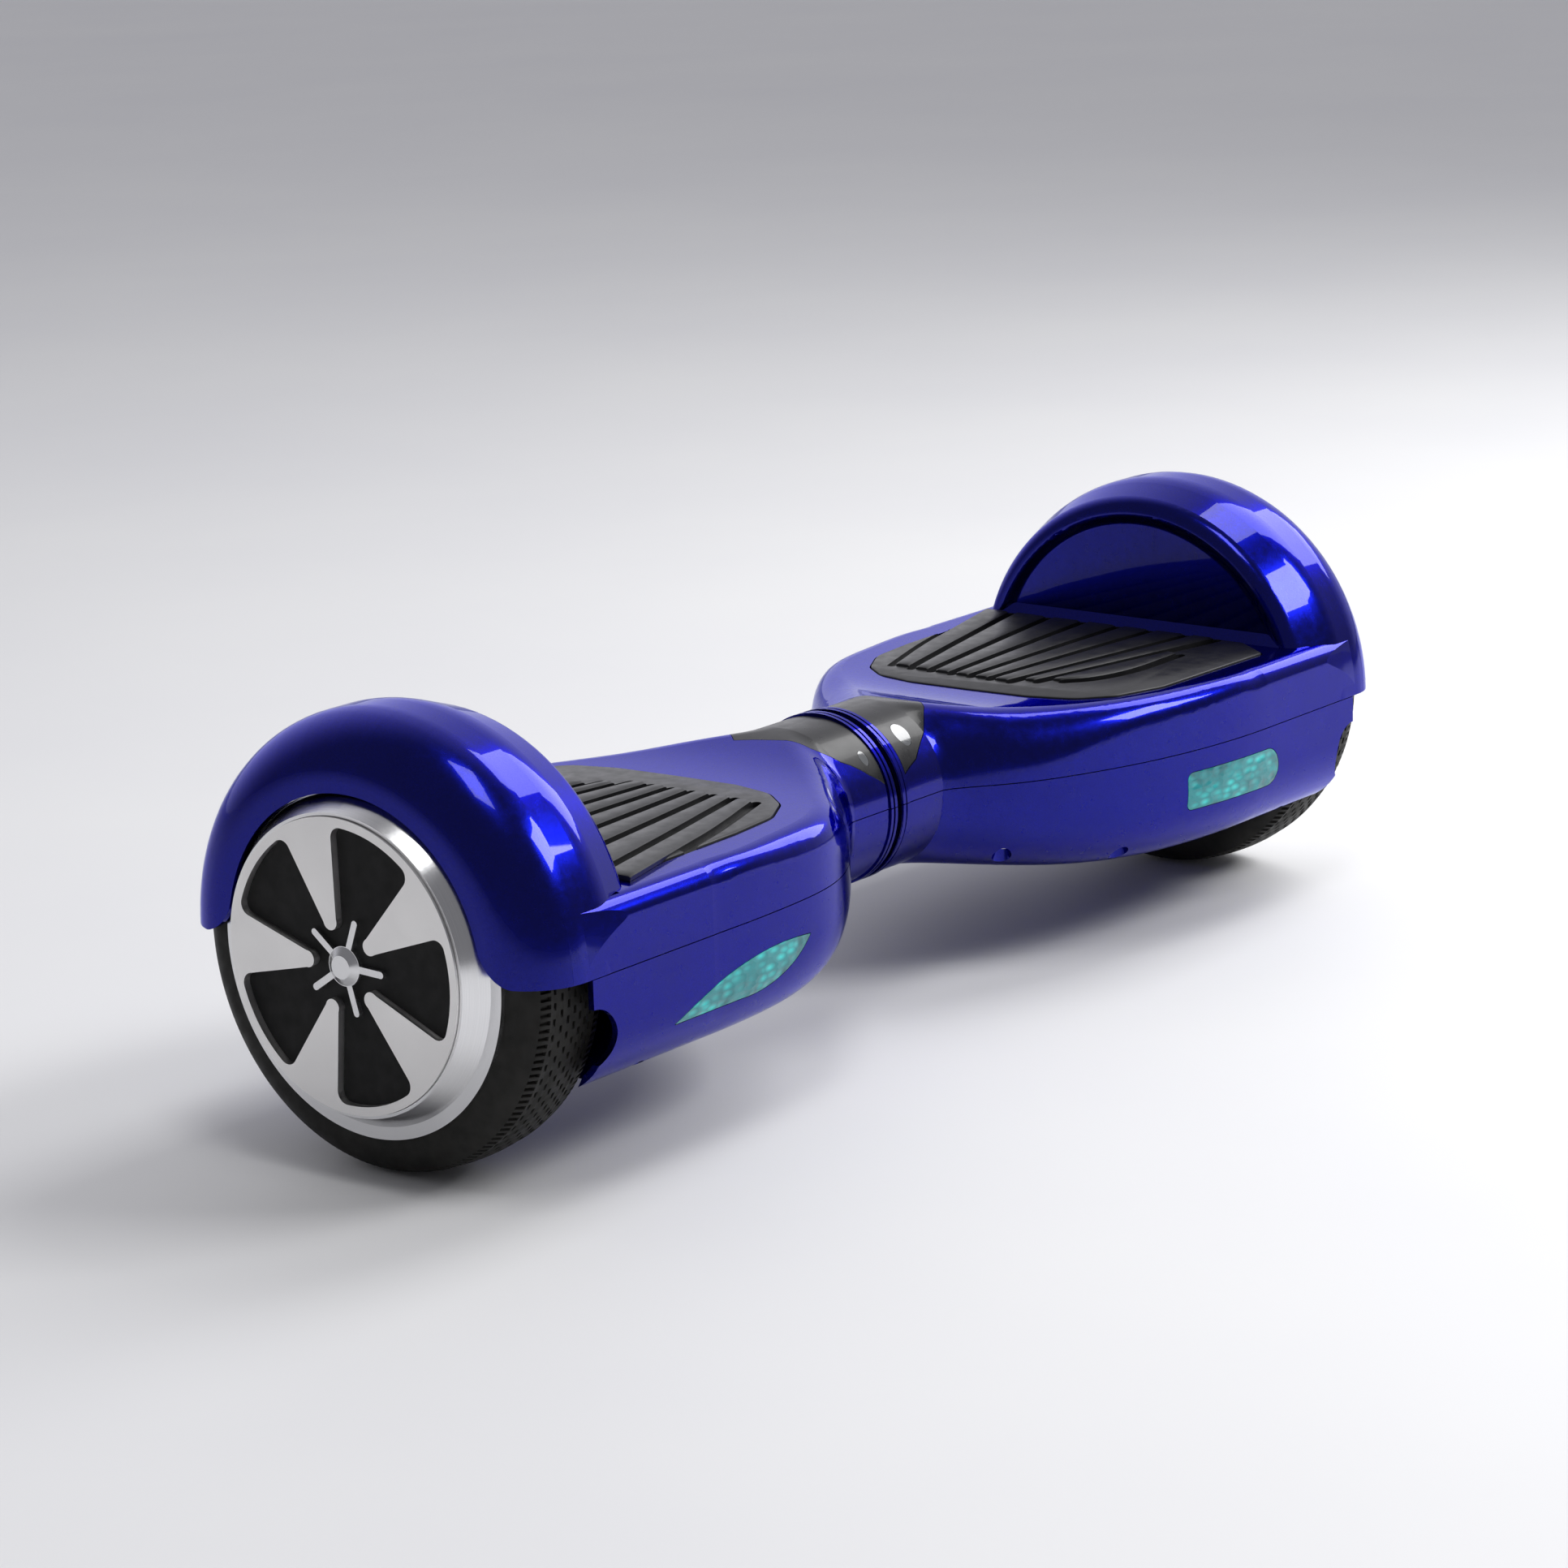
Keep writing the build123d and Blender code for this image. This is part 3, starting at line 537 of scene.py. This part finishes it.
def sunk(flag, step):
    """How far a point of the profile lies below the tread at one step of a repeat."""
    if flag is None:
        return 0.0
    if flag == "slot":
        return SLOT_DEPTH if step in SLOT_STEPS else 0.0
    return DASH_DEPTH if step in DASH_STEPS[flag] else 0.0


def tyre():
    """Solid tyre with a moulded tread: shoulder slots and staggered dashes between."""
    mid = (TYRE_OUT + TYRE_IN) / 2
    profile = tread_profile((TYRE_OUT - TYRE_IN) / 2)
    verts, faces = [], []
    m = len(profile)
    for repeat in range(TREAD_REPEATS):
        for step, share in enumerate(TREAD_STEPS):
            a = 2 * math.pi * (repeat + share) / TREAD_REPEATS
            for x, r, flag in profile:
                depth = sunk(flag, step)
                verts.append((mid + x, (r - depth) * math.sin(a), AXLE_Z + (r - depth) * math.cos(a)))
    n = TREAD_REPEATS * len(TREAD_STEPS)
    for i in range(n):
        j = (i + 1) % n
        for k in range(m):
            q = (k + 1) % m
            faces.append((i * m + k, j * m + k, j * m + q, i * m + q))
    return mesh("tyre", verts, faces, smooth=32)


for side in SIDES:
    ring = tyre()
    ring.name = f"treaded_tyre_{side}"
    place(ring, side, f"{side}_wheel", "tyre_rubber", f"tyre_{side}")


# ---- floor, lights and camera ---------------------------------------------------------
FLOOR_HALF = 14000.0
# The view from above the left wheel: angles in degrees, lengths in metres, the lens in mm.
AZIMUTH, ELEVATION, ROLL = -51.49, 14.12, -1.85
TARGET = (-0.17722, -0.1169, 0.14427)
DISTANCE = 1.78544
LENS, SENSOR, CLIP_END = 110.65, 36.0, 100.0
BACKDROP_TO = (0.76, 0.60, 0.12)   # the bright side of the backdrop


def floor():
    corners = [(-FLOOR_HALF, -FLOOR_HALF, 0), (FLOOR_HALF, -FLOOR_HALF, 0),
               (FLOOR_HALF, FLOOR_HALF, 0), (-FLOOR_HALF, FLOOR_HALF, 0)]
    sheet = mesh("floor", corners, [(0, 1, 2, 3)])
    f = Finish("pale_floor", Roughness=0.6)
    f.colour(f.mix(f.ramp(f.noise(3.0, 4.0), 0.3, 0.7), (0.74, 0.74, 0.75), (0.77, 0.77, 0.77)))
    sheet.data.materials.append(f.material)


def lamp(name, position, target, size, power):
    """A white rectangular soft box; metres and watts."""
    data = bpy.data.lights.new(name, "AREA")
    data.shape = "RECTANGLE"
    data.size, data.size_y = size
    data.energy = power
    holder = bpy.data.objects.new(name, data)
    bpy.context.scene.collection.objects.link(holder)
    holder.location = position
    holder.rotation_euler = (Vector(target) - Vector(position)).to_track_quat("-Z", "Y").to_euler()


def camera():
    azimuth, elevation, roll = (math.radians(a) for a in (AZIMUTH, ELEVATION, ROLL))
    back = Vector((math.sin(azimuth) * math.cos(elevation), -math.cos(azimuth) * math.cos(elevation),
                   math.sin(elevation)))
    right = Vector((math.cos(azimuth), math.sin(azimuth), 0))
    up = back.cross(right)
    across = right * math.cos(roll) + up * math.sin(roll)
    upright = up * math.cos(roll) - right * math.sin(roll)
    data = bpy.data.cameras.new("camera")
    data.lens, data.sensor_width, data.clip_end = LENS, SENSOR, CLIP_END
    holder = bpy.data.objects.new("camera", data)
    bpy.context.scene.collection.objects.link(holder)
    place_at = Vector(TARGET) + back * DISTANCE
    holder.matrix_world = Matrix((
        (across.x, upright.x, back.x, place_at.x),
        (across.y, upright.y, back.y, place_at.y),
        (across.z, upright.z, back.z, place_at.z),
        (0, 0, 0, 1)))
    bpy.context.scene.camera = holder


def studio():
    """Pale backdrop light behind the object, dim in front of it."""
    world = bpy.data.worlds.new("studio")
    bpy.context.scene.world = world
    world.use_nodes = True
    tree = world.node_tree
    place = tree.nodes.new("ShaderNodeTexCoord")
    along = tree.nodes.new("ShaderNodeVectorMath")
    along.operation = "DOT_PRODUCT"
    along.inputs[1].default_value = BACKDROP_TO
    tree.links.new(place.outputs["Generated"], along.inputs[0])
    ramp = tree.nodes.new("ShaderNodeMapRange")
    ramp.interpolation_type = "SMOOTHSTEP"
    for socket, value in (("From Min", 0.1), ("From Max", 0.95), ("To Min", 0.22), ("To Max", 1.15)):
        ramp.inputs[socket].default_value = value
    tree.links.new(along.outputs["Value"], ramp.inputs["Value"])
    tree.links.new(ramp.outputs["Result"], tree.nodes["Background"].inputs["Strength"])
    tree.nodes["Background"].inputs["Color"].default_value = (0.86, 0.86, 0.92, 1.0)


floor()
studio()
lamp("overhead_box", (-0.45, -0.45, 1.9), (-0.1, -0.05, 0.1), (0.5, 0.8), 8)
lamp("right_window", (1.5, -0.2, 1.35), (0, 0, 0.1), (0.75, 1.5), 21)
lamp("front_window", (0.85, -1.25, 1.25), (0.05, 0, 0.1), (0.8, 0.55), 22)
camera()
bpy.context.scene.view_settings.view_transform = "Standard"
